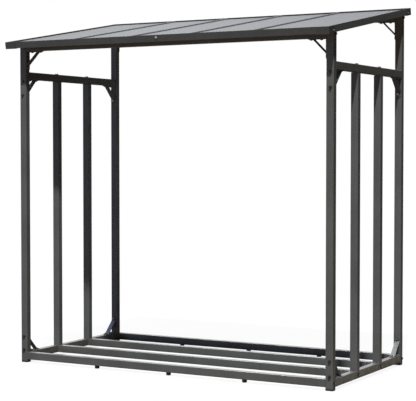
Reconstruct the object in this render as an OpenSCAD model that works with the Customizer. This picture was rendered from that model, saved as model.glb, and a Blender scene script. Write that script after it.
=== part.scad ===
// Open log store: a bolted steel tube frame with slatted sides, a barred floor and a sloping roof.
// Millimetres. +X runs to the right, +Y to the rear, +Z up, and the ground is at zero.
// The origin lies under the middle of the whole outline. The roof falls towards the front.

/* [Frame] */
// Width over the corner posts
base_w = 1400; // [1000:10:1800]
// Depth over the corner posts
base_d = 700; // [500:10:900]
// Height of the roof at its front edge
front_h = 1310; // [1270:5:1430]
// Height of the roof at its rear edge
rear_h = 1450; // [1340:5:1560]
// Depth of the upper face of the side rails below the front edge of the roof
side_rail_drop = 116; // [80:2:400]

/* [Tube] */
// Wide face of the steel tube
tube_w = 30; // [24:1:40]
// Narrow face of the steel tube
tube_d = 25; // [20:1:28]
// Wall of the steel tube
tube_wall = 1.2; // [1:0.1:1.9]
// Outer corner radius of the steel tube
tube_r = 2; // [2:0.1:5]

/* [Corner braces] */
// Length of each leg of a brace
brace_leg = 77; // [66:1:100]
// Distance from the corner at which the strut meets the legs
strut_leg = 59; // [36:1:62]
// Width of the strip
brace_w = 20; // [12:1:20]
// Thickness of the strip
brace_t = 3; // [2:0.5:5]

/* [Roof] */
// Reach of the roof in front of the front posts
front_overhang = 80; // [40:1:160]
// Reach of the roof behind the rear posts
rear_overhang = 33; // [25:1:120]
// Reach of the roof beyond the posts at each side
side_overhang = 15; // [12:1:24]
// Height of the edge profile
fascia_h = 26; // [24:1:50]
// Sheet of the edge profile
fascia_t = 1.2; // [0.8:0.1:2]
// Height of the edge profile above the panels
lip_h = 6; // [2:0.5:8]
// Distance between the seams of the middle panels
panel_pitch = 266; // [180:1:300]
// Fold depth of the panels
panel_h = 11; // [8:0.5:16]
// Sheet of the panels
panel_t = 0.8; // [0.6:0.1:1.4]

/* [Feet] */
// Height of the round feet under the base rails
foot_h = 12; // [8:1:30]
// Diameter of the round feet
foot_dia = 19; // [12:1:20]
// Distance between the round feet
foot_pitch = 333; // [200:1:400]
// Height of the end caps under the posts
cap_h = 6; // [3:1:7]

/* [Hidden] */
// Space between pieces that are put together without contact
fit_clear = 0.3;
// Space between the mitred ends of two edge profiles
mitre_clear = 0.2;
// Space between the folds of two panels
seam_clear = 2;
// Outer radius of the folds of the panels
bend_r = 2.4;
// Share of the lip's height that the strips over the seams take
seam_strip_share = 0.9;
// Inward return along the lower edge of the edge profile
hem_w = 5;
// Thickness of the roof corner covers
cover_t = 1.2;
// Length of each leg of a roof corner cover
cover_leg = 50;
// Reach of a roof corner cover below the edge profile
cover_drop = 2;
// Width of the floor of a roof corner cover
cover_floor_w = 12;
// Length of the plug of an end cap inside its post
plug_len = 18;
// Lower edge break of the round feet
foot_break = 2;
// Number of bays between the uprights of a side
side_bays = 3;
// Number of panels on the roof
panel_count = 5;
$fn = 48;

rise = rear_h - front_h;
roof_plan = base_d + front_overhang + rear_overhang;
roof_len = sqrt(roof_plan * roof_plan + rise * rise);
slope = atan2(rise, roof_plan);
roof_w = base_w + 2 * side_overhang;
cover_h = fascia_h + cover_drop;
// The outline in plan runs from the upper front edge of the roof to its lower rear edge.
roof_y0 = -(roof_plan + cover_h * sin(slope)) / 2;

front_y = roof_y0 + front_overhang;
rear_y = front_y + base_d;
front_post_y = front_y + tube_d / 2;
rear_post_y = rear_y - tube_d / 2;
post_x = (base_w - tube_w) / 2;
side_x = (base_w - tube_d) / 2;
between_posts = base_w - 2 * tube_w;
side_span = base_d - 2 * tube_d;
upright_pitch = (base_d - tube_d) / side_bays;
base_top = foot_h + tube_w;
side_rail_z = front_h - side_rail_drop - tube_w;

// The panels and the edge profiles share one seat below the roof's upper plane.
seat = lip_h + panel_h;
shelf_w = side_overhang - cover_t - fascia_t - fit_clear;
panel_inset = cover_t + fascia_t + fit_clear;
panel_half = roof_w / 2 - panel_inset;

// The strips over the seams stand on the flat of the panels, clear of their folds, below the lip.
seam_strip_h = lip_h * seam_strip_share;
seam_strip_r = 2 * panel_t;
seam_strip_w = seam_clear + 2 * bend_r + 2 * seam_strip_r;

// Height of the seat over a place in Y, and of a level tube whose front upper edge touches it.
function seat_z(y) = front_h + (y - roof_y0) * tan(slope) - seat / cos(slope);
function beam_top(y) = seat_z(y + tube_r) - tube_r / cos(slope) + tube_r;

front_top = beam_top(front_y);
rear_top = beam_top(rear_y - tube_d);

steel = [0.27, 0.28, 0.28];
steel_dark = [0.22, 0.23, 0.23];
sheet = [0.33, 0.34, 0.36];
plastic = [0.06, 0.06, 0.06];

// Rectangle with round corners, about the origin.
module rounded_outline(a, b, r) {
  square([a - 2 * r, b], center = true);
  square([a, b - 2 * r], center = true);
  for (sx = [-1, 1], sy = [-1, 1])
    translate([sx * (a / 2 - r), sy * (b / 2 - r)])
      circle(r = r);
}

// Outline of the inside of a tube.
module bore_outline(a, b) {
  rounded_outline(a - 2 * tube_wall, b - 2 * tube_wall, tube_r - tube_wall);
}

// Tube that stands on the origin.
module tube(a, b, length) {
  linear_extrude(height = length)
    difference() {
      rounded_outline(a, b, tube_r);
      bore_outline(a, b);
    }
}

// Upright tube with its wide face to the front.
module tube_z(x, y, z0, z1) {
  translate([x, y, z0])
    tube(tube_w, tube_d, z1 - z0);
}

// Tube along X about the middle, on edge.
module tube_x(y, z, length) {
  translate([-length / 2, y, z + tube_w / 2])
    rotate([0, 90, 0])
      tube(tube_w, tube_d, length);
}

// Tube along Y between the posts, on edge.
module tube_y(x, z) {
  translate([x, front_y + tube_d, z + tube_w / 2])
    rotate([-90, 0, 0])
      tube(tube_d, tube_w, side_span);
}

module post(side, y, top) {
  color(steel)
    tube_z(side * post_x, y, cap_h, top);
}

module upright(side, place) {
  color(steel)
    tube_z(side * post_x, front_post_y + place * upright_pitch, base_top, side_rail_z);
}

module cross_rail(y, z) {
  color(steel)
    tube_x(y, z, between_posts);
}

module floor_bar(place) {
  color(steel)
    tube_x(front_post_y + place * upright_pitch, foot_h, base_w - 2 * tube_d);
}

module side_rail(side, z) {
  color(steel)
    tube_y(side * side_x, z);
}

// Leg of a brace along +X with a round end, its back on the plane y = 0.
module brace_leg_plate() {
  rotate([90, 0, 0])
    translate([0, 0, -brace_t])
      linear_extrude(height = brace_t) {
        translate([0, -brace_w / 2])
          square([brace_leg - brace_w / 2, brace_w]);
        translate([brace_leg - brace_w / 2, 0])
          circle(d = brace_w);
      }
}

// Corner brace in the XY plane: two legs from the corner at the origin and a strut between them.
module corner_brace() {
  strut_run = brace_t * sqrt(2);
  brace_leg_plate();
  mirror([1, -1, 0])
    brace_leg_plate();
  linear_extrude(height = brace_w, center = true)
    polygon([[strut_leg, 0], [0, strut_leg], [0, strut_leg - strut_run], [strut_leg - strut_run, 0]]);
}

// Brace in the plane of a side, its legs towards along (in Y) and up (in Z).
module side_brace(side, y, z, along, up) {
  color(steel_dark)
    translate([side * side_x, y, z])
      scale([1, along, up])
        rotate([90, 0, 90])
          corner_brace();
}

// Brace between a post and the beam over it.
module roof_brace(side, y, top) {
  color(steel_dark)
    translate([side * between_posts / 2, y, top - tube_w])
      scale([-side, 1, -1])
        rotate([90, 0, 0])
          corner_brace();
}

// The roof is drawn flat, with its upper front edge on the origin and +Y up the slope.
module on_slope() {
  translate([0, roof_y0, front_h])
    rotate([slope, 0, 0])
      children();
}

// Section of the edge profile: outer face at zero, inside to the right, upper edge at zero.
module fascia_section() {
  translate([0, -fascia_h])
    square([fascia_t, fascia_h]);
  translate([0, -seat - fascia_t])
    square([fascia_t + shelf_w, fascia_t]);
  translate([0, -fascia_h])
    square([fascia_t + hem_w, fascia_t]);
}

// Edge profile along X about the middle, mitred at both ends, its inside towards +Y.
module edge_profile(length) {
  half = length / 2 - mitre_clear;
  intersection() {
    translate([-length / 2, 0, 0])
      rotate([90, 0, 90])
        linear_extrude(height = length)
          fascia_section();
    translate([0, 0, -cover_h])
      linear_extrude(height = 2 * cover_h)
        polygon([[-half, 0], [half, 0], [0, half]]);
  }
}

module cross_fascia(rear) {
  color(steel)
    on_slope()
      translate([0, rear ? roof_len - cover_t : cover_t, 0])
        rotate(rear ? 180 : 0)
          edge_profile(roof_w - 2 * cover_t);
}

module side_fascia(side) {
  color(steel)
    on_slope()
      translate([side * (roof_w / 2 - cover_t), roof_len / 2, 0])
        rotate(side * 90)
          edge_profile(roof_len - 2 * cover_t);
}

// Plan of a corner cover: two legs of a given width, outside and inside the corner at the origin.
module cover_plan(inside) {
  translate([0, -cover_t])
    square([cover_leg, cover_t + inside]);
  translate([-cover_t, 0])
    square([cover_t + inside, cover_leg]);
  intersection() {
    circle(r = cover_t);
    translate([-cover_t, -cover_t])
      square([cover_t, cover_t]);
  }
}

module corner_cover() {
  translate([0, 0, -cover_h])
    linear_extrude(height = cover_h)
      cover_plan(0);
  translate([0, 0, -cover_h])
    linear_extrude(height = cover_t)
      cover_plan(cover_floor_w);
}

module roof_corner_covers() {
  color(steel_dark)
    on_slope()
      translate([0, roof_len / 2, 0])
        for (sx = [-1, 1], sy = [-1, 1])
          scale([sx, sy, 1])
            translate([cover_t - roof_w / 2, cover_t - roof_len / 2, 0])
              corner_cover();
}

// Section of a folded sheet without its hollow: square below, round at the upper corners.
module fold_outline(x0, x1, h, r) {
  translate([x0, -h])
    square([x1 - x0, h - r]);
  translate([x0 + r, -h])
    square([x1 - x0 - 2 * r, h]);
  for (x = [x0 + r, x1 - r])
    translate([x, -r])
      circle(r = r);
}

// Thin sheet between two places in X, its upper face at a level and both edges folded down by h.
module folded_sheet(x0, x1, level, h, r) {
  color(sheet)
    on_slope()
      translate([0, roof_len - panel_inset, level])
        rotate([90, 0, 0])
          linear_extrude(height = roof_len - 2 * panel_inset)
            difference() {
              fold_outline(x0, x1, h, r);
              translate([0, -panel_t])
                fold_outline(x0 + panel_t, x1 - panel_t, h, r - panel_t);
            }
}

// Panel by its number from the middle, the last ones out to the edge profiles.
module panel_at(number) {
  left_end = 2 * number == 1 - panel_count;
  right_end = 2 * number == panel_count - 1;
  x0 = left_end ? -panel_half : (number - 0.5) * panel_pitch + seam_clear / 2;
  x1 = right_end ? panel_half : (number + 0.5) * panel_pitch - seam_clear / 2;
  folded_sheet(x0, x1, -lip_h, panel_h, bend_r);
}

// Strips that cover the seams between the panels.
module roof_seam_strips() {
  for (seam = [1 : panel_count - 1]) {
    middle = (seam - panel_count / 2) * panel_pitch;
    x0 = middle - seam_strip_w / 2;
    folded_sheet(x0, x0 + seam_strip_w, seam_strip_h - lip_h, seam_strip_h, seam_strip_r);
  }
}

// Cap under a post: a foot as large as the tube and a plug up its bore.
module end_cap() {
  linear_extrude(height = cap_h)
    rounded_outline(tube_w, tube_d, tube_r);
  linear_extrude(height = cap_h + plug_len)
    bore_outline(tube_w - 2 * fit_clear, tube_d - 2 * fit_clear);
}

module post_end_caps() {
  color(plastic)
    for (side = [-1, 1], y = [front_post_y, rear_post_y])
      translate([side * post_x, y, 0])
        end_cap();
}

module rail_foot() {
  r = foot_dia / 2;
  rotate_extrude()
    polygon([[0, 0], [r - foot_break, 0], [r, foot_break], [r, foot_h], [0, foot_h]]);
}

module rail_feet() {
  color(plastic)
    for (place = [-1, 0, 1], y = [front_post_y, rear_post_y])
      translate([place * foot_pitch, y, 0])
        rail_foot();
}

post(-1, front_post_y, front_top);  // front_left_post
post(1, front_post_y, front_top);  // front_right_post
post(-1, rear_post_y, rear_top);  // rear_left_post
post(1, rear_post_y, rear_top);  // rear_right_post
cross_rail(front_post_y, foot_h);  // front_base_rail
cross_rail(rear_post_y, foot_h);  // rear_base_rail
side_rail(-1, foot_h);  // left_base_rail
side_rail(1, foot_h);  // right_base_rail
floor_bar(1);  // front_floor_bar
floor_bar(2);  // rear_floor_bar
side_rail(-1, side_rail_z);  // left_top_rail
side_rail(1, side_rail_z);  // right_top_rail
upright(-1, 1);  // left_front_upright
upright(-1, 2);  // left_rear_upright
upright(1, 1);  // right_front_upright
upright(1, 2);  // right_rear_upright
cross_rail(front_post_y, front_top - tube_w);  // front_beam
cross_rail(rear_post_y, rear_top - tube_w);  // rear_beam
roof_brace(-1, front_post_y, front_top);  // front_left_roof_brace
roof_brace(1, front_post_y, front_top);  // front_right_roof_brace
roof_brace(-1, rear_post_y, rear_top);  // rear_left_roof_brace
roof_brace(1, rear_post_y, rear_top);  // rear_right_roof_brace
side_brace(-1, front_y + tube_d, side_rail_z, 1, -1);  // left_front_rail_brace
side_brace(-1, rear_y - tube_d, side_rail_z, -1, -1);  // left_rear_rail_brace
side_brace(1, front_y + tube_d, side_rail_z, 1, -1);  // right_front_rail_brace
side_brace(1, rear_y - tube_d, side_rail_z, -1, -1);  // right_rear_rail_brace
side_brace(-1, front_y + tube_d, base_top, 1, 1);  // left_front_base_brace
side_brace(-1, rear_y - tube_d, base_top, -1, 1);  // left_rear_base_brace
side_brace(1, front_y + tube_d, base_top, 1, 1);  // right_front_base_brace
side_brace(1, rear_y - tube_d, base_top, -1, 1);  // right_rear_base_brace
cross_fascia(false);  // front_fascia
cross_fascia(true);  // rear_fascia
side_fascia(-1);  // left_fascia
side_fascia(1);  // right_fascia
roof_corner_covers();
panel_at(-2);  // left_outer_panel
panel_at(-1);  // left_inner_panel
panel_at(0);  // middle_panel
panel_at(1);  // right_inner_panel
panel_at(2);  // right_outer_panel
roof_seam_strips();
post_end_caps();
rail_feet();
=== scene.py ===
"""Finishes, fasteners and studio for an open steel log store with a sloping sheet roof."""

import math

import bmesh
import bpy
from bpy.props import FloatProperty, FloatVectorProperty, PointerProperty
from mathutils import Matrix, Vector


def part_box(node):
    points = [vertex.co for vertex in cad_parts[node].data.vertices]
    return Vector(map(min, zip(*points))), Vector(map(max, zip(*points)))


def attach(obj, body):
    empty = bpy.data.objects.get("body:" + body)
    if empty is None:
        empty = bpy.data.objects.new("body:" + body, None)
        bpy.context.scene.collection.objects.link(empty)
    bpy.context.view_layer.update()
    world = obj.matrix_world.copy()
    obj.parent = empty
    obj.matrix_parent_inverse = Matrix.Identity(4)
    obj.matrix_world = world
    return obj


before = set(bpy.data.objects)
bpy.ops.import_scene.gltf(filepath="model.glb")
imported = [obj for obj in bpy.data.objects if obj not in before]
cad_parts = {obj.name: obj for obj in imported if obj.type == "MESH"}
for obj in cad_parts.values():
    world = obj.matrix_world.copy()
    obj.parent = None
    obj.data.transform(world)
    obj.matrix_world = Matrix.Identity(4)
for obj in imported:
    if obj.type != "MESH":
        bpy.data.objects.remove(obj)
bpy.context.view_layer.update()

bl_info = {
    "name": "Log Store",
    "version": (1, 0, 0),
    "blender": (4, 5, 0),
    "location": "View3D > Sidebar > Log Store",
    "description": "Dresses the log store frame with its coatings, fasteners and a plain studio",
    "category": "Object",
}

# Sign of x at each side of the store, and of y at each end.
SIDES = {"left": -1, "right": 1}
ENDS = {"front": -1, "rear": 1}

# Roughness of the bare coats and of the plastic, before dust, grain and wear are added.
POWDER_ROUGHNESS = 0.54
SHEET_ROUGHNESS = 0.47
PLASTIC_ROUGHNESS = 0.5

# Outlines of the fasteners from the base up, as shares of their radius and of their height.
WASHER_OUTLINE = ((0.97, 0.0), (1.0, 0.3), (1.0, 0.7), (0.95, 1.0))
HEXAGON_OUTLINE = ((0.97, 0.0), (1.0, 0.06), (1.0, 0.8), (0.94, 0.93), (0.84, 1.0))
SCREW_FLANGE_OUTLINE = ((0.97, 0.0), (1.0, 0.1), (0.98, 0.22), (0.8, 0.3))
SCREW_HEXAGON_OUTLINE = ((0.68, 0.28), (0.7, 0.34), (0.7, 0.85), (0.64, 0.95), (0.5, 1.0))
HEXAGON_SIDES = 6
WASHER_SIDES = 28
THREAD_SIDES = 18
THREAD_TURNS = 3
DOME_SIDES = 24
DOME_RINGS = 7

# Each fastener of a set is turned on from the one before it. Sharper edges than this angle stay sharp.
TURN_ON = math.radians(37.0)
SHARP_ANGLE = math.radians(32.0)

# A brace's bolts stand between the middle of its post, at 0, and its own middle, at 1.
BOLT_SHARE = 0.6
# Thinnest and thickest leg that a brace may have, in metres.
LEG_RANGE = (0.001, 0.008)
# Points of the roof within these distances of its front and of its top lie on its edges, in metres.
FRONT_NEAR = 0.001
TOP_NEAR = 0.0005

# Width of the picture in pixels, of the camera's sensor in millimetres, and the camera's reach in metres.
IMAGE_W = 416
SENSOR_W = 36.0
VIEW_DEPTH = 200.0

# Half the floor's width, the share of white close to the store, and where white takes over, in metres.
FLOOR_REACH = 40.0
FLOOR_WHITE = 0.88
FLOOR_FADE = (1.0, 2.8)

# Lamps that stand round the store and face its middle, at this height. Lengths are in metres and angles in
# degrees, with the azimuth counted to the right of the front.
MIDDLE_HEIGHT = 0.7
FAR_LAMPS = {
    "key": {"azimuth": 22.7, "elevation": 60.4, "distance": 20.0, "width": 0.6, "height": 0.6},
    "fill": {"azimuth": -50.0, "elevation": 10.0, "distance": 12.0, "width": 4.0, "height": 4.0},
    "low": {"azimuth": 5.0, "elevation": -7.0, "distance": 3.5, "width": 2.4, "height": 0.5},
    "rear": {"azimuth": 217.7, "elevation": 50.0, "distance": 20.0, "width": 4.0, "height": 4.0},
}
# Small lamps close to the store, with their place, the way they face and the spread of their light.
NEAR_LAMPS = {
    "inner": {
        "place": (0.5, 0.27, 0.7), "toward": (-1, 0, 0), "spread": 65.0, "width": 0.3, "height": 1.0},
    "ground": {
        "place": (0.8, 0, 0.003), "toward": (0, 0, 1), "spread": 180.0, "width": 0.15, "height": 0.8},
}


class LogStoreFinish(bpy.types.PropertyGroup):
    """Colours and coats of the log store."""

    tube_colour: FloatVectorProperty(
        name="Tube coat", description="Powder coat of the posts, rails and bars",
        subtype="COLOR", size=3, min=0, max=1, default=(0.096, 0.098, 0.094))
    brace_colour: FloatVectorProperty(
        name="Brace coat", description="Powder coat of the corner braces",
        subtype="COLOR", size=3, min=0, max=1, default=(0.085, 0.088, 0.084))
    edge_colour: FloatVectorProperty(
        name="Edge profile coat", description="Powder coat of the roof's front and rear edge profiles",
        subtype="COLOR", size=3, min=0, max=1, default=(0.068, 0.068, 0.065))
    # Painted light: the side edge profiles are the same profile as the front and rear ones, painted lighter
    # and greener for the light that falls on them.
    side_edge_painted_light_colour: FloatVectorProperty(
        name="Side edge coat", description="Powder coat of the roof's edge profiles at the sides",
        subtype="COLOR", size=3, min=0, max=1, default=(0.092, 0.102, 0.096))
    cover_colour: FloatVectorProperty(
        name="Corner cover coat", description="Coat of the covers on the roof's corners",
        subtype="COLOR", size=3, min=0, max=1, default=(0.061, 0.062, 0.059))
    sheet_colour: FloatVectorProperty(
        name="Roof sheet coat", description="Smooth coat of the roof panels",
        subtype="COLOR", size=3, min=0, max=1, default=(0.092, 0.095, 0.104))
    foot_colour: FloatVectorProperty(
        name="Foot plastic", description="Plastic of the feet and end caps",
        subtype="COLOR", size=3, min=0, max=1, default=(0.010, 0.010, 0.011))
    # Painted sheen: a paler colour painted on the upper faces of the base braces, where they would reflect
    # the sky.
    painted_sheen_colour: FloatVectorProperty(
        name="Worn brace", description="Upper faces of the base braces where logs have rubbed them",
        subtype="COLOR", size=3, min=0, max=1, default=(0.26, 0.265, 0.275))
    # Painted shade: a darker, bluish copy of the painted sheen, for the left rear base brace, which lies in
    # the roof's shade.
    painted_shade_sheen_colour: FloatVectorProperty(
        name="Worn brace in the shade", description="Upper faces of the base brace at the left rear",
        subtype="COLOR", size=3, min=0, max=1, default=(0.15, 0.19, 0.265))
    dust_colour: FloatVectorProperty(
        name="Dust", description="Earth dust low on the frame and on its upper faces",
        subtype="COLOR", size=3, min=0, max=1, default=(0.285, 0.258, 0.215))
    dust_height: FloatProperty(
        name="Dust height", description="Height up to which splashed dust shows",
        unit="LENGTH", min=0, default=0.16)


class LogStoreFasteners(bpy.types.PropertyGroup):
    """Sizes and places of the bolts and screws."""

    head_across: FloatProperty(
        name="Head across flats", description="Width of the bolt heads and nuts across their flats",
        unit="LENGTH", min=0.004, default=0.0092)
    head_height: FloatProperty(
        name="Head height", description="Height of the bolt heads",
        unit="LENGTH", min=0.001, default=0.0046)
    nut_height: FloatProperty(
        name="Nut height", description="Height of the nuts",
        unit="LENGTH", min=0.001, default=0.005)
    washer_dia: FloatProperty(
        name="Washer diameter", description="Diameter of the washers",
        unit="LENGTH", min=0.004, default=0.0114)
    washer_height: FloatProperty(
        name="Washer height", description="Thickness of the washers",
        unit="LENGTH", min=0.0002, default=0.0014)
    thread_dia: FloatProperty(
        name="Thread diameter", description="Diameter of the bolts",
        unit="LENGTH", min=0.002, default=0.006)
    dome_dia: FloatProperty(
        name="Brace screw head", description="Diameter of the round heads of the braces' screws",
        unit="LENGTH", min=0.004, default=0.0138)
    dome_height: FloatProperty(
        name="Brace screw height", description="Height of the round heads of the braces' screws",
        unit="LENGTH", min=0.001, default=0.0055)
    coach_dia: FloatProperty(
        name="Coach bolt head", description="Diameter of the round heads over the uprights",
        unit="LENGTH", min=0.004, default=0.0165)
    coach_height: FloatProperty(
        name="Coach bolt height", description="Height of the round heads over the uprights",
        unit="LENGTH", min=0.001, default=0.0044)
    near_bolt: FloatProperty(
        name="Near bolt", description="Distance of a brace's first bolt from its corner, on the post",
        unit="LENGTH", min=0.005, default=0.0095)
    near_screw: FloatProperty(
        name="Near screw", description="Distance of a brace's first screw from its corner, on the rail",
        unit="LENGTH", min=0.005, default=0.024)
    far_bolt: FloatProperty(
        name="Far bolt", description="Distance of each leg's second fastener from the brace's corner",
        unit="LENGTH", min=0.02, default=0.065)
    screw_dia: FloatProperty(
        name="Roof screw head", description="Diameter of the roof screws' heads",
        unit="LENGTH", min=0.003, default=0.0075)
    roof_screw_drop: FloatProperty(
        name="Roof screw drop", description="Distance of the roof screws below the roof's upper edge",
        unit="LENGTH", min=0.002, default=0.010)
    cover_screw_drop: FloatProperty(
        name="Cover screw drop", description="Distance of the cover screws below the roof's upper edge",
        unit="LENGTH", min=0.002, default=0.017)
    cover_screw_along: FloatProperty(
        name="Cover screw place", description="Distance of the cover screws from the front and rear edges",
        unit="LENGTH", min=0.005, default=0.037)
    cover_step: FloatProperty(
        name="Cover step", description="How far the corner covers stand out from the edge profiles",
        unit="LENGTH", min=0, default=0.0012)
    bolt_colour: FloatVectorProperty(
        name="Bolt finish", description="Black zinc of the bolts",
        subtype="COLOR", size=3, min=0, max=1, default=(0.016, 0.017, 0.018))
    nut_colour: FloatVectorProperty(
        name="Nut finish", description="Zinc of the nuts",
        subtype="COLOR", size=3, min=0, max=1, default=(0.125, 0.127, 0.13))
    screw_colour: FloatVectorProperty(
        name="Screw finish", description="Bright zinc of the roof screws",
        subtype="COLOR", size=3, min=0, max=1, default=(0.46, 0.47, 0.48))
    cover_screw_colour: FloatVectorProperty(
        name="Cover screw finish", description="Dull zinc of the corner covers' screws",
        subtype="COLOR", size=3, min=0, max=1, default=(0.12, 0.12, 0.12))


class LogStoreStage(bpy.types.PropertyGroup):
    """Floor, light and camera."""

    floor_colour: FloatVectorProperty(
        name="Floor", description="Colour of the floor",
        subtype="COLOR", size=3, min=0, max=1, default=(0.8, 0.8, 0.8))
    floor_bounce: FloatVectorProperty(
        name="Floor bounce", description="Colour of the floor for the light that it throws back",
        subtype="COLOR", size=3, min=0, max=1, default=(0.10, 0.072, 0.052))
    key_power: FloatProperty(
        name="Key light", description="Power of the far lamp in front and above",
        unit="POWER", min=0, default=5000.0)
    key_colour: FloatVectorProperty(
        name="Key colour", description="Colour of the far lamp in front and above",
        subtype="COLOR", size=3, min=0, max=1, default=(1.0, 1.0, 1.0))
    fill_power: FloatProperty(
        name="Fill light", description="Power of the wide lamp in front and to the left",
        unit="POWER", min=0, default=420.0)
    fill_colour: FloatVectorProperty(
        name="Fill colour", description="Colour of the wide lamp in front and to the left",
        subtype="COLOR", size=3, min=0, max=1, default=(0.36, 0.60, 1.0))
    low_power: FloatProperty(
        name="Low light", description="Power of the lamp low in front, which reaches under the roof",
        unit="POWER", min=0, default=18.0)
    low_colour: FloatVectorProperty(
        name="Low colour", description="Colour of the lamp low in front",
        subtype="COLOR", size=3, min=0, max=1, default=(1.0, 0.76, 0.60))
    rear_power: FloatProperty(
        name="Rear light", description="Power of the wide lamp behind and to the left",
        unit="POWER", min=0, default=4400.0)
    rear_colour: FloatVectorProperty(
        name="Rear colour", description="Colour of the wide lamp behind and to the left",
        subtype="COLOR", size=3, min=0, max=1, default=(1.0, 1.0, 1.0))
    inner_power: FloatProperty(
        name="Inner light", description="Power of the narrow lamp that faces the left side from within",
        unit="POWER", min=0, default=0.45)
    inner_colour: FloatVectorProperty(
        name="Inner colour", description="Colour of the narrow lamp between the sides",
        subtype="COLOR", size=3, min=0, max=1, default=(0.80, 0.92, 1.0))
    ground_power: FloatProperty(
        name="Ground light", description="Power of the lamp that lies on the ground along the right side",
        unit="POWER", min=0, default=0.35)
    ground_colour: FloatVectorProperty(
        name="Ground colour", description="Colour of the lamp that lies on the ground",
        subtype="COLOR", size=3, min=0, max=1, default=(1.0, 0.94, 0.86))
    sky_level: FloatProperty(
        name="Sky", description="Strength of the soft light from all around",
        subtype="FACTOR", min=0, max=1, default=0.065)
    sky_colour: FloatVectorProperty(
        name="Sky colour", description="Colour of the soft light from all around",
        subtype="COLOR", size=3, min=0, max=1, default=(0.92, 0.96, 1.0))
    camera_place: FloatVectorProperty(
        name="Camera", description="Place of the camera",
        subtype="TRANSLATION", unit="LENGTH", size=3, default=(2.650, -4.744, 0.868))
    camera_yaw: FloatProperty(
        name="Camera yaw", description="Heading of the camera, to the right of the rear",
        subtype="ANGLE", default=math.radians(-29.2))
    camera_pitch: FloatProperty(
        name="Camera pitch", description="Angle of the camera below the horizon",
        subtype="ANGLE", default=math.radians(2.1))
    camera_focus: FloatProperty(
        name="Focal length in pixels", description="Focal length over the pixel pitch of the picture",
        subtype="PIXEL", min=100, default=1335.0)


class Shade:
    """A socket of a node tree that can be used in Python sums."""

    def __init__(self, tree, socket=None):
        self.tree = tree
        self.socket = socket

    def node(self, kind, settings=None, sockets=None, out=0):
        """Adds a node, sets it up, then fills or links its sockets. Gives one of its outputs."""
        made = self.tree.nodes.new(kind)
        for name, value in (settings or {}).items():
            setattr(made, name, value)
        for name, value in (sockets or {}).items():
            if isinstance(value, Shade):
                self.tree.links.new(value.socket, made.inputs[name])
            else:
                made.inputs[name].default_value = value
        return Shade(self.tree, made.outputs[out] if made.outputs else None)

    def _math(self, operation, first, second):
        return self.node("ShaderNodeMath", {"operation": operation}, {0: first, 1: second})

    def __add__(self, other):
        return self._math("ADD", self, other)

    __radd__ = __add__

    def __sub__(self, other):
        return self._math("SUBTRACT", self, other)

    def __rsub__(self, other):
        return self._math("SUBTRACT", other, self)

    def __mul__(self, other):
        return self._math("MULTIPLY", self, other)

    __rmul__ = __mul__

    def larger(self, other):
        return self._math("MAXIMUM", self, other)

    def size(self):
        return self._math("ABSOLUTE", self, 0.0)

    def step(self, low, high):
        """Rises smoothly from 0 at low to 1 at high."""
        return self.node(
            "ShaderNodeMapRange", {"interpolation_type": "SMOOTHSTEP"},
            {0: self, 1: low, 2: high, 3: 0.0, 4: 1.0})

    def between(self, low, high):
        """Takes 0 to low and 1 to high."""
        return self * (high - low) + low

    def mix(self, first, second):
        """Colour between first, at 0, and second, at 1."""
        def as_colour(value):
            return value if isinstance(value, Shade) else (*value, 1.0)
        return self.node(
            "ShaderNodeMix", {"data_type": "RGBA", "clamp_factor": True},
            {0: self, 6: as_colour(first), 7: as_colour(second)}, out=2)

    def stain(self, tone, colour, share):
        """A tone that this mask takes towards a colour, by a share at most."""
        return (self * share).mix(tone, colour)

    def stretched(self, x, y, z):
        return self.node("ShaderNodeVectorMath", {"operation": "MULTIPLY"}, {0: self, 1: (x, y, z)})

    def part(self, index):
        return self.node("ShaderNodeSeparateXYZ", None, {0: self}, out=index)

    def noise(self, scale=1.0, detail=2.0, roughness=0.5):
        return self.node(
            "ShaderNodeTexNoise", None,
            {"Vector": self, "Scale": scale, "Detail": detail, "Roughness": roughness})

    def bump(self, strength, distance):
        """A normal that follows this height."""
        return self.node(
            "ShaderNodeBump", None, {"Strength": strength, "Distance": distance, "Height": self})


def tinted(colour, factor):
    """A colour made lighter or darker."""
    return tuple(min(1.0, c * factor) for c in colour)


def new_material(name):
    """An empty material, the start of its node tree and the place of a point on the piece."""
    material = bpy.data.materials.new(name)
    material.use_nodes = True
    material.node_tree.nodes.clear()
    start = Shade(material.node_tree)
    return material, start, start.node("ShaderNodeTexCoord", out="Object")


def finish_material(start, colour, roughness, normal, coat=None, **constants):
    """The surface of a material: what varies comes linked, the rest is set on the shader."""
    sockets = {"Base Color": colour, "Roughness": roughness, "Normal": normal}
    if coat is not None:
        sockets["Coat Weight"] = coat
    for name, value in constants.items():
        sockets[name.replace("_", " ").title().replace("Ior", "IOR")] = value
    surface = start.node("ShaderNodeBsdfPrincipled", None, sockets)
    start.node("ShaderNodeOutputMaterial", None, {"Surface": surface})


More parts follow.
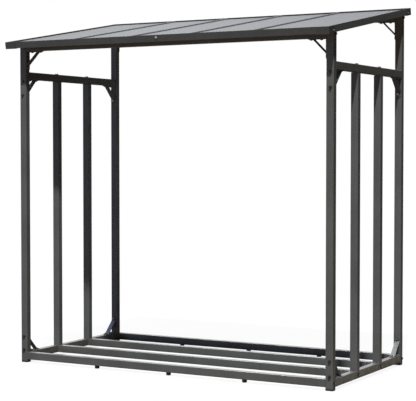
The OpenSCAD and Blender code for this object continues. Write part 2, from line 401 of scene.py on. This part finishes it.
def powder_coat(name, colour, edges=1.0, dust=1.0, shine=0.6, painted_sheen_share=0.0, painted_sheen_colour=None):
    """Fine textured powder coat, softly mottled, with a painted highlight on its rounded edges and, if
    asked, a painted sheen on its upper faces; dusty, and sleeker on its upper faces.
    """
    finish = bpy.context.scene.log_store_finish
    material, start, place = new_material(name)
    normal = start.node("ShaderNodeNewGeometry", out="Normal")
    x, y, z = (normal.part(i) for i in range(3))
    mottle = place.noise(scale=7.0, detail=4.0, roughness=0.6).step(low=0.3, high=0.7)
    streaks = place.stretched(70.0, 70.0, 3.0).noise(detail=3.0, roughness=0.6).step(low=0.35, high=0.75)
    grain = place.noise(scale=1500.0, roughness=0.6)
    speck = place.noise(scale=420.0, detail=1.0).step(low=0.62, high=0.72)
    tone = mottle.mix(tinted(colour, factor=0.9), tinted(colour, factor=1.1))
    tone = streaks.stain(tone, tinted(colour, factor=1.22), share=0.35)
    tone = speck.stain(tone, tinted(colour, factor=1.6), share=0.25)
    # Painted highlight: the rounded edges, found from how far the normal leans off the axes, are painted a
    # little lighter and made a little glossier.
    flat = x.size().larger(y.size()).larger(z.size())
    painted_edge_highlight = (1.0 - flat).step(low=0.03, high=0.2) * edges
    tone = painted_edge_highlight.stain(tone, tinted(colour, factor=1.5), share=0.08)
    # Painted sheen: the upper faces are painted towards a paler colour, broken up by scratch-like streaks.
    if painted_sheen_share:
        scratches = place.stretched(40.0, 150.0, 150.0).noise(detail=3.0, roughness=0.6)
        scrape = scratches.step(low=0.25, high=0.6).between(low=0.6, high=1.0)
        tone = (z.step(low=0.4, high=0.68) * scrape).stain(tone, tuple(painted_sheen_colour), share=painted_sheen_share)
    near_ground = 1.0 - place.part(2).step(low=0.0, high=finish.dust_height)
    above = z.step(low=0.75, high=0.97)
    splashes = place.noise(scale=24.0, detail=4.0, roughness=0.65).step(low=0.3, high=0.75)
    film = near_ground * (1.0 - above) * splashes.between(low=0.01, high=0.08) * dust
    settled = place.noise(scale=60.0, detail=3.0, roughness=0.6).step(low=0.35, high=0.8)
    lying = above * settled.between(low=0.0, high=0.09 * min(dust, 1.0))
    dusty = film + lying
    tone = dusty.mix(tone, tuple(finish.dust_colour))
    roughness = POWDER_ROUGHNESS + mottle * 0.06 + grain * 0.05 + dusty * 0.4 - painted_edge_highlight * 0.04
    sleek = z.step(low=0.25, high=0.8) * (shine - lying * 0.8)
    finish_material(
        start, tone, roughness, grain.bump(strength=0.22, distance=0.0004), sleek,
        specular_ior_level=0.003, coat_roughness=0.32, coat_ior=1.5)
    return material


def roof_coat(name, colour):
    """Smooth coil coat on thin sheet, very slightly wavy, with a film of dust, and painted light on the
    sides of its folds.
    """
    finish = bpy.context.scene.log_store_finish
    material, start, place = new_material(name)
    normal = start.node("ShaderNodeNewGeometry", out="Normal")
    drift = place.stretched(3.0, 1.2, 1.0).noise(detail=3.0, roughness=0.55).step(low=0.3, high=0.7)
    runs = place.stretched(55.0, 2.0, 1.0).noise(detail=3.0, roughness=0.6).step(low=0.35, high=0.7)
    fleck = place.noise(scale=260.0, roughness=0.6).step(low=0.62, high=0.75)
    wave = place.stretched(5.0, 2.2, 1.0).noise()
    painted_fold_light = 1.0 - normal.part(2).step(low=0.5, high=0.9)
    tone = drift.mix(tinted(colour, factor=0.94), tinted(colour, factor=1.06))
    tone = runs.stain(tone, tinted(colour, factor=1.15), share=0.2)
    tone = fleck.stain(tone, tuple(finish.dust_colour), share=0.05)
    # Painted light: faces that do not face up, the sides of the folds and seam strips, are painted much
    # paler.
    tone = painted_fold_light.stain(tone, tinted(colour, factor=3.0), share=0.8)
    roughness = SHEET_ROUGHNESS + drift * 0.03 + runs * 0.02 + fleck * 0.03
    finish_material(
        start, tone, roughness, wave.bump(strength=0.25, distance=0.0012), specular_ior_level=0.03)
    return material


def foot_plastic(name, colour):
    """Black moulded plastic with a fine grain, scuffed and dusty near the ground."""
    finish = bpy.context.scene.log_store_finish
    material, start, place = new_material(name)
    grain = place.noise(scale=1900.0, roughness=0.6)
    scuff = place.noise(scale=130.0, detail=4.0, roughness=0.7).step(low=0.5, high=0.75)
    near_ground = 1.0 - place.part(2).step(low=0.0, high=0.012)
    film = scuff.between(low=0.03, high=0.18) * near_ground
    tone = film.mix(colour, tinted(finish.dust_colour, factor=0.5))
    roughness = PLASTIC_ROUGHNESS + grain * 0.08 + film * 0.4
    finish_material(
        start, tone, roughness, grain.bump(strength=0.3, distance=0.0003), specular_ior_level=0.15)
    return material


def zinc(name, colour, roughness, metallic=0.9):
    """Plated steel of a fastener, slightly clouded."""
    material, start, place = new_material(name)
    cloud = place.noise(scale=300.0, detail=3.0, roughness=0.6).step(low=0.3, high=0.7)
    turned = place.noise(scale=1600.0)
    tone = cloud.mix(tinted(colour, factor=0.8), tinted(colour, factor=1.2))
    finish_material(
        start, tone, roughness + cloud * 0.1 + turned * 0.04, turned.bump(strength=0.15, distance=0.0002),
        metallic=metallic, specular_ior_level=0.2)
    return material


def nodes_ending(*endings):
    """Names of the CAD nodes that end in one of these words."""
    return [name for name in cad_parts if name.endswith(endings)]


def coat(names, material):
    """Gives CAD nodes a finish in their own material slots."""
    if not names:
        raise RuntimeError("no nodes to coat with " + material.name)
    for name in names:
        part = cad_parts[name]
        if not part.material_slots:
            part.data.materials.append(material)
        for slot in part.material_slots:
            slot.material = material


def middle(node):
    """Middle of a CAD node's box."""
    low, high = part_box(node)
    return (low + high) / 2


def points_of(node):
    """Points of a CAD node."""
    return [vertex.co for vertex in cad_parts[node].data.vertices]


def turned_to(place, direction, spin):
    """Matrix that stands a fastener on a place, its axis along a direction."""
    turn = Vector(direction).to_track_quat("Z", "Y").to_matrix().to_4x4()
    return Matrix.Translation(place) @ turn @ Matrix.Rotation(spin, 4, "Z")


def loft_rings(mesh, matrix, rings, sides):
    """Skins rings of (radius, height) about the axis and closes both ends."""
    rows = []
    for radius, height in rings:
        row = []
        for i in range(sides):
            angle = 2 * math.pi * i / sides
            row.append(mesh.verts.new(
                matrix @ Vector((radius * math.cos(angle), radius * math.sin(angle), height))))
        rows.append(row)
    for lower, upper in zip(rows, rows[1:]):
        for i in range(sides):
            j = (i + 1) % sides
            mesh.faces.new((lower[i], lower[j], upper[j], upper[i]))
    mesh.faces.new(rows[-1])
    mesh.faces.new(list(reversed(rows[0])))


class FastenerSet:
    """Like fasteners gathered into one piece."""

    def __init__(self):
        self.mesh = bmesh.new()
        self.sizes = bpy.context.scene.log_store_fasteners
        self.count = 0

    def _matrix(self, place, direction):
        self.count += 1
        return turned_to(place, direction, TURN_ON * self.count)

    def _outline(self, matrix, outline, radius, base, height, sides):
        """Lofts an outline that is given in shares of a radius and a height."""
        rings = [(radius * out, base + height * up) for out, up in outline]
        loft_rings(self.mesh, matrix, rings, sides)

    def _washer(self, matrix):
        radius, height = self.sizes.washer_dia / 2, self.sizes.washer_height
        self._outline(matrix, WASHER_OUTLINE, radius, 0.0, height, WASHER_SIDES)

    def _hexagon(self, matrix, height):
        radius = self.sizes.head_across / math.sqrt(3)
        self._outline(matrix, HEXAGON_OUTLINE, radius, self.sizes.washer_height, height, HEXAGON_SIDES)

    def bolt(self, place, direction):
        """A washer and a hexagon head."""
        matrix = self._matrix(place, direction)
        self._washer(matrix)
        self._hexagon(matrix, self.sizes.head_height)

    def nut(self, place, direction):
        """A washer, a nut and the end of the bolt, whose thread is a stack of ridges."""
        sizes = self.sizes
        matrix = self._matrix(place, direction)
        self._washer(matrix)
        self._hexagon(matrix, sizes.nut_height)
        top = sizes.washer_height + sizes.nut_height
        crest = sizes.thread_dia / 2
        root, tip, foot = crest * 0.88, crest * 0.7, crest * 0.9
        pitch, end = sizes.thread_dia * 0.15, sizes.thread_dia * 8 / 15
        sunk = sizes.nut_height * 0.2
        rings = [(foot, top - sunk)]
        for turn in range(THREAD_TURNS):
            rings.append((root, top + pitch * turn))
            rings.append((crest, top + pitch * (turn + 0.5)))
        rings.append((tip, top + end))
        loft_rings(self.mesh, matrix, rings, THREAD_SIDES)

    def dome(self, place, direction, dia, height):
        """A round head without flats, on a rim half as high as a washer."""
        matrix = self._matrix(place, direction)
        radius, rim = dia / 2, self.sizes.washer_height / 2
        foot = radius * 0.96
        rings = [(foot, 0.0), (radius, rim)]
        for i in range(1, DOME_RINGS):
            angle = math.pi / 2 * i / DOME_RINGS
            rings.append((radius * math.cos(angle), rim + height * math.sin(angle)))
        loft_rings(self.mesh, matrix, rings, DOME_SIDES)

    def roof_screw(self, place, direction):
        """A small hexagon head on a flange, as high as its radius."""
        matrix = self._matrix(place, direction)
        radius = self.sizes.screw_dia / 2
        self._outline(matrix, SCREW_FLANGE_OUTLINE, radius, 0.0, radius, WASHER_SIDES)
        self._outline(matrix, SCREW_HEXAGON_OUTLINE, radius, 0.0, radius, HEXAGON_SIDES)

    def piece(self, name, slot, material):
        """Makes the piece, which rides on the frame."""
        if not self.count:
            raise RuntimeError("no fasteners in " + name)
        bmesh.ops.recalc_face_normals(self.mesh, faces=self.mesh.faces)
        data = bpy.data.meshes.new(name)
        self.mesh.to_mesh(data)
        self.mesh.free()
        for polygon in data.polygons:
            polygon.use_smooth = True
        data.set_sharp_from_angle(angle=SHARP_ANGLE)
        data.materials.append(material)
        made = bpy.data.objects.new(name, data)
        bpy.context.scene.collection.objects.link(made)
        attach(made, "root")


class LOGSTORE_OT_coat_tubes(bpy.types.Operator):
    """Coat the posts, uprights, rails, floor bars and beams"""

    bl_idname = "log_store.coat_tubes"
    bl_label = "Coat Tubes"

    def execute(self, context):
        finish = context.scene.log_store_finish
        colour = tuple(finish.tube_colour)
        dusty_rails = {"left_base_rail": 3.0, "right_base_rail": 5.5}
        tubes = nodes_ending("_post", "_upright", "_rail", "_bar", "_beam")
        coat([name for name in tubes if name not in dusty_rails],
             powder_coat("tube_powder_coat", colour, dust=0.5, shine=1.0))
        for name, dust in dusty_rails.items():
            coat([name], powder_coat(name + "_powder_coat", colour, dust=dust, shine=0.85))
        return {"FINISHED"}


class LOGSTORE_OT_coat_braces(bpy.types.Operator):
    """Coat the corner braces"""

    bl_idname = "log_store.coat_braces"
    bl_label = "Coat Braces"

    def execute(self, context):
        finish = context.scene.log_store_finish
        colour = tuple(finish.brace_colour)
        coat(nodes_ending("_roof_brace", "_rail_brace"),
             powder_coat("brace_powder_coat", colour, edges=0.0, dust=0.3, shine=0.05))
        # Painted shade: the left rear base brace gets its own copy of the coat, with a darker bluish
        # painted sheen, less gloss and no dust, as it lies in the roof's shade.
        painted_shade_braces = ["left_rear_base_brace"]
        # The base braces get a painted sheen on their upper faces.
        coat([name for name in nodes_ending("_base_brace") if name not in painted_shade_braces],
             powder_coat("base_brace_powder_coat", colour, edges=0.0, dust=0.7, shine=1.0,
                         painted_sheen_share=0.8, painted_sheen_colour=finish.painted_sheen_colour))
        coat(painted_shade_braces,
             powder_coat("shaded_brace_powder_coat", colour, edges=0.0, dust=0.0, shine=0.4,
                         painted_sheen_share=0.8, painted_sheen_colour=finish.painted_shade_sheen_colour))
        return {"FINISHED"}


class LOGSTORE_OT_coat_roof(bpy.types.Operator):
    """Coat the roof panels, their edge profiles and the corner covers"""

    bl_idname = "log_store.coat_roof"
    bl_label = "Coat Roof"

    def execute(self, context):
        finish = context.scene.log_store_finish
        coat(nodes_ending("_panel", "_seam_strips"),
             roof_coat("roof_sheet_coat", tuple(finish.sheet_colour)))
        coat([end + "_fascia" for end in ENDS],
             powder_coat("edge_profile_coat", tuple(finish.edge_colour), dust=0.3))
        # Painted light: the side profiles get a lighter, greener copy of the edge profile coat.
        coat([side + "_fascia" for side in SIDES],
             powder_coat("side_edge_profile_coat", tuple(finish.side_edge_painted_light_colour), dust=0.3))
        coat(["roof_corner_covers"],
             powder_coat("corner_cover_coat", tuple(finish.cover_colour), dust=0.3))
        return {"FINISHED"}


class LOGSTORE_OT_finish_feet(bpy.types.Operator):
    """Finish the end caps of the posts and the feet of the rails"""

    bl_idname = "log_store.finish_feet"
    bl_label = "Finish Feet"

    def execute(self, context):
        finish = context.scene.log_store_finish
        coat(["post_end_caps", "rail_feet"], foot_plastic("foot_plastic", tuple(finish.foot_colour)))
        return {"FINISHED"}


class LOGSTORE_OT_add_brace_bolts(bpy.types.Operator):
    """Add the bolts, nuts and screws of the corner braces"""

    bl_idname = "log_store.add_brace_bolts"
    bl_label = "Add Brace Bolts"

    def execute(self, context):
        sizes = context.scene.log_store_fasteners
        low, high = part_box("right_front_base_brace")
        if high.y - low.y <= sizes.far_bolt:
            raise RuntimeError("the far bolts lie past the ends of the braces")
        black = zinc("black_zinc", tuple(sizes.bolt_colour), roughness=0.28, metallic=0.5)
        nut_zinc = zinc("nut_zinc", tuple(sizes.nut_colour), roughness=0.2)
        heads, nuts, screws = FastenerSet(), FastenerSet(), FastenerSet()
        dome = (sizes.dome_dia, sizes.dome_height)
        for side, sideways in SIDES.items():
            for end, rearward in ENDS.items():
                post = f"{end}_{side}_post"
                post_low, post_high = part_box(post)
                outer, inner = (post_low.y, post_high.y) if rearward < 0 else (post_high.y, post_low.y)
                for level, up in (("rail", -1), ("base", 1)):
                    brace = f"{side}_{end}_{level}_brace"
                    low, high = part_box(brace)
                    thick = self.leg_thickness(brace)
                    corner_z = high.z if up < 0 else low.z
                    leg_z = corner_z + up * thick
                    screw_x = middle(brace).x
                    bolt_x = screw_x * BOLT_SHARE + middle(post).x * (1 - BOLT_SHARE)
                    for reach in (sizes.near_bolt, sizes.far_bolt):
                        heads.bolt((bolt_x, outer, corner_z + up * reach), (0, rearward, 0))
                    nut_y = inner - rearward * thick
                    nuts.nut((bolt_x, nut_y, corner_z + up * sizes.far_bolt), (0, -rearward, 0))
                    for reach in (sizes.near_screw, sizes.far_bolt):
                        screws.dome((screw_x, inner - rearward * reach, leg_z), (0, 0, up), *dome)
                brace = f"{end}_{side}_roof_brace"
                low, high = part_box(brace)
                thick = self.leg_thickness(brace)
                corner_x = high.x if sideways > 0 else low.x
                y = middle(brace).y
                for reach in (sizes.near_bolt, sizes.far_bolt):
                    screws.dome((corner_x - sideways * thick, y, high.z - reach), (-sideways, 0, 0), *dome)
                for reach in (sizes.near_screw, sizes.far_bolt):
                    screws.dome((corner_x - sideways * reach, y, high.z - thick), (0, 0, -1), *dome)
        heads.piece("post_bolt_heads", "brace_steel", black)
        nuts.piece("brace_nuts", "brace_steel", nut_zinc)
        screws.piece("brace_screws", "brace_steel", black)
        return {"FINISHED"}

    def leg_thickness(self, brace):
        """Thickness of a brace's legs, from the points next to its top or bottom."""
        low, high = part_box(brace)
        points = points_of(brace)
        heights = {round(p.z - low.z, 5) for p in points} | {round(high.z - p.z, 5) for p in points}
        thinnest, thickest = LEG_RANGE
        legs = [height for height in heights if thinnest < height < thickest]
        if not legs:
            raise RuntimeError("no leg found on " + brace)
        return min(legs)


class LOGSTORE_OT_add_frame_bolts(bpy.types.Operator):
    """Add the bolts of the beams, base rails, floor bars and uprights"""

    bl_idname = "log_store.add_frame_bolts"
    bl_label = "Add Frame Bolts"

    def execute(self, context):
        sizes = context.scene.log_store_fasteners
        black = bpy.data.materials["black_zinc"]
        bolts, domes = FastenerSet(), FastenerSet()
        coach = (sizes.coach_dia, sizes.coach_height)
        for side, sideways in SIDES.items():
            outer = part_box(f"front_{side}_post")[1 if sideways > 0 else 0].x
            for end in ENDS:
                y = middle(f"{end}_{side}_post").y
                bolts.bolt((outer, y, middle(f"{end}_beam").z), (sideways, 0, 0))
                bolts.bolt((outer, y, middle(f"{end}_base_rail").z), (sideways, 0, 0))
                bar = middle(f"{end}_floor_bar")
                bolts.bolt((outer, bar.y, bar.z), (sideways, 0, 0))
                rail_x = middle(f"{side}_top_rail").x
                upright = middle(f"{side}_{end}_upright").y
                domes.dome((rail_x, upright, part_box(f"{side}_top_rail")[1].z), (0, 0, 1), *coach)
        bolts.piece("frame_bolt_heads", "frame_tube", black)
        domes.piece("upright_bolt_heads", "frame_tube", black)
        return {"FINISHED"}


class LOGSTORE_OT_add_roof_screws(bpy.types.Operator):
    """Add the bright screws of the roof's edge"""

    bl_idname = "log_store.add_roof_screws"
    bl_label = "Add Roof Screws"

    def execute(self, context):
        sizes = context.scene.log_store_fasteners
        front_top, rise, run = self.slope()
        fall, length = math.atan2(rise, run), math.hypot(rise, run)
        if length <= 2 * sizes.cover_screw_along:
            raise RuntimeError("the roof is too short for its screws")
        bright = zinc("bright_zinc", tuple(sizes.screw_colour), roughness=0.25)
        dull = zinc("dull_zinc", tuple(sizes.cover_screw_colour), roughness=0.35)
        screws, cover_screws = FastenerSet(), FastenerSet()
        low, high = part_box("roof_corner_covers")
        up_slope = Vector((0, math.cos(fall), math.sin(fall)))
        upward = Vector((0, -math.sin(fall), math.cos(fall)))
        front_edge = Vector((0, low.y, front_top))
        cover_line = front_edge - upward * sizes.cover_screw_drop
        edge_line = front_edge - upward * sizes.roof_screw_drop
        for sideways in SIDES.values():
            outer = Vector((high.x if sideways > 0 else low.x, 0, 0))
            for along in (sizes.cover_screw_along, length - sizes.cover_screw_along):
                cover_screws.roof_screw(cover_line + up_slope * along + outer, (sideways, 0, 0))
        screws.roof_screw(edge_line + up_slope * sizes.cover_step, -up_slope)
        screws.roof_screw(edge_line + up_slope * (length - sizes.cover_step), up_slope)
        screws.piece("roof_screws", "edge_profile", bright)
        cover_screws.piece("cover_screws", "corner_cover", dull)
        return {"FINISHED"}

    def slope(self):
        """Height of the roof's upper front edge, and the rise and run from there to the upper rear edge."""
        low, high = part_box("roof_corner_covers")
        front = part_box("front_fascia")[0].y
        front_top = max(p.z for p in points_of("front_fascia") if p.y < front + FRONT_NEAR)
        rear = max(p.y for p in points_of("roof_corner_covers") if p.z > high.z - TOP_NEAR)
        return front_top, high.z - front_top, rear - low.y


class LOGSTORE_OT_set_stage(bpy.types.Operator):
    """Set up the floor, the light and the camera"""

    bl_idname = "log_store.set_stage"
    bl_label = "Set Stage"

    def execute(self, context):
        stage = context.scene.log_store_stage
        self.floor(context, stage)
        self.sky(context, stage)
        for kind, stand in FAR_LAMPS.items():
            away = self.away(math.radians(stand["azimuth"]), math.radians(stand["elevation"]))
            place = Vector((0, 0, MIDDLE_HEIGHT)) + away * stand["distance"]
            self.lamp(context, stage, kind, stand, place, -away)
        for kind, stand in NEAR_LAMPS.items():
            place, toward = Vector(stand["place"]), Vector(stand["toward"])
            data = self.lamp(context, stage, kind, stand, place, toward)
            data.spread = math.radians(stand["spread"])
        self.camera(context, stage)
        context.scene.view_settings.view_transform = "Standard"
        return {"FINISHED"}

    def seen(self, start):
        """One for rays that show the background itself or in a gloss or glass."""
        path = "ShaderNodeLightPath"
        seen = start.node(path, out="Is Camera Ray")
        for ray in ("Is Glossy Ray", "Is Transmission Ray"):
            seen = seen.larger(start.node(path, out=ray))
        return seen

    def floor(self, context, stage):
        """A wide floor, white to the camera, that shows a faint shadow round the store."""
        material, start, place = new_material("studio_floor")
        reach = start.node("ShaderNodeVectorMath", {"operation": "LENGTH"}, {0: place}, out="Value")
        seen = self.seen(start)
        share = seen * reach.step(*FLOOR_FADE).between(low=FLOOR_WHITE, high=1.0)
        bounce = start.node("ShaderNodeBsdfDiffuse", None, {"Color": (*stage.floor_bounce, 1.0)})
        shown = start.node("ShaderNodeBsdfDiffuse", None, {"Color": (*stage.floor_colour, 1.0)})
        matt = start.node("ShaderNodeMixShader", None, {0: seen, 1: bounce, 2: shown})
        pale = start.node("ShaderNodeEmission", None, {"Color": (1.0, 1.0, 1.0, 1.0), "Strength": 1.0})
        mixed = start.node("ShaderNodeMixShader", None, {0: share, 1: matt, 2: pale})
        start.node("ShaderNodeOutputMaterial", None, {"Surface": mixed})
        mesh = bmesh.new()
        bmesh.ops.create_grid(mesh, x_segments=1, y_segments=1, size=FLOOR_REACH)
        data = bpy.data.meshes.new("studio_floor")
        mesh.to_mesh(data)
        mesh.free()
        data.materials.append(material)
        floor = bpy.data.objects.new("studio_floor", data)
        context.scene.collection.objects.link(floor)

    def sky(self, context, stage):
        """Soft light from all around, white to the camera."""
        world = bpy.data.worlds.new("studio_sky")
        context.scene.world = world
        world.use_nodes = True
        world.node_tree.nodes.clear()
        start = Shade(world.node_tree)
        seen = self.seen(start)
        soft = start.node(
            "ShaderNodeBackground", None, {"Color": (*stage.sky_colour, 1.0), "Strength": stage.sky_level})
        white = start.node("ShaderNodeBackground", None, {"Color": (1.0, 1.0, 1.0, 1.0), "Strength": 1.0})
        mixed = start.node("ShaderNodeMixShader", None, {0: seen, 1: soft, 2: white})
        start.node("ShaderNodeOutputWorld", None, {"Surface": mixed})

    def away(self, azimuth, elevation):
        """Direction out from the middle. Azimuth counts to the right of the front."""
        flat = math.cos(elevation)
        return Vector((flat * math.sin(azimuth), -flat * math.cos(azimuth), math.sin(elevation)))

    def lamp(self, context, stage, kind, stand, place, toward):
        """A flat lamp that the camera doesn't see."""
        data = bpy.data.lights.new("studio_" + kind, "AREA")
        data.energy = getattr(stage, kind + "_power")
        data.color = getattr(stage, kind + "_colour")
        data.shape = "RECTANGLE"
        data.size = stand["width"]
        data.size_y = stand["height"]
        lamp = bpy.data.objects.new("studio_" + kind, data)
        lamp.location = place
        lamp.rotation_euler = toward.to_track_quat("-Z", "Y").to_euler()
        lamp.visible_camera = False
        context.scene.collection.objects.link(lamp)
        return data

    def camera(self, context, stage):
        """The camera, low in front and to the right."""
        data = bpy.data.cameras.new("photo_view")
        data.sensor_fit = "HORIZONTAL"
        data.sensor_width = SENSOR_W
        data.lens = stage.camera_focus * SENSOR_W / IMAGE_W
        data.clip_end = VIEW_DEPTH
        view = bpy.data.objects.new("photo_view", data)
        flat = math.cos(stage.camera_pitch)
        ahead = Vector((
            flat * math.sin(stage.camera_yaw), flat * math.cos(stage.camera_yaw),
            -math.sin(stage.camera_pitch)))
        view.location = stage.camera_place
        view.rotation_euler = ahead.to_track_quat("-Z", "Y").to_euler()
        context.scene.collection.objects.link(view)
        context.scene.camera = view


# The operators in the order in which they run, and the groups by their names in the scene.
STEPS = (
    LOGSTORE_OT_coat_tubes,
    LOGSTORE_OT_coat_braces,
    LOGSTORE_OT_coat_roof,
    LOGSTORE_OT_finish_feet,
    LOGSTORE_OT_add_brace_bolts,
    LOGSTORE_OT_add_frame_bolts,
    LOGSTORE_OT_add_roof_screws,
    LOGSTORE_OT_set_stage,
)
GROUPS = {
    "log_store_finish": LogStoreFinish,
    "log_store_fasteners": LogStoreFasteners,
    "log_store_stage": LogStoreStage,
}


class LOGSTORE_PT_sidebar(bpy.types.Panel):
    """Steps and values of the log store"""

    bl_idname = "LOGSTORE_PT_sidebar"
    bl_label = "Log Store"
    bl_space_type = "VIEW_3D"
    bl_region_type = "UI"
    bl_category = "Log Store"

    def draw(self, context):
        for step in STEPS:
            self.layout.operator(step.bl_idname)
        for scene_name, group in GROUPS.items():
            box = self.layout.box()
            for name in group.__annotations__:
                box.prop(getattr(context.scene, scene_name), name)


def register():
    for name, group in GROUPS.items():
        bpy.utils.register_class(group)
        setattr(bpy.types.Scene, name, PointerProperty(type=group))
    for step in (*STEPS, LOGSTORE_PT_sidebar):
        bpy.utils.register_class(step)


def unregister():
    for step in reversed((*STEPS, LOGSTORE_PT_sidebar)):
        bpy.utils.unregister_class(step)
    for name, group in reversed(GROUPS.items()):
        delattr(bpy.types.Scene, name)
        bpy.utils.unregister_class(group)


def main():
    register()
    for step in STEPS:
        family, name = step.bl_idname.split(".")
        getattr(getattr(bpy.ops, family), name)()


if __name__ == "__main__":
    main()
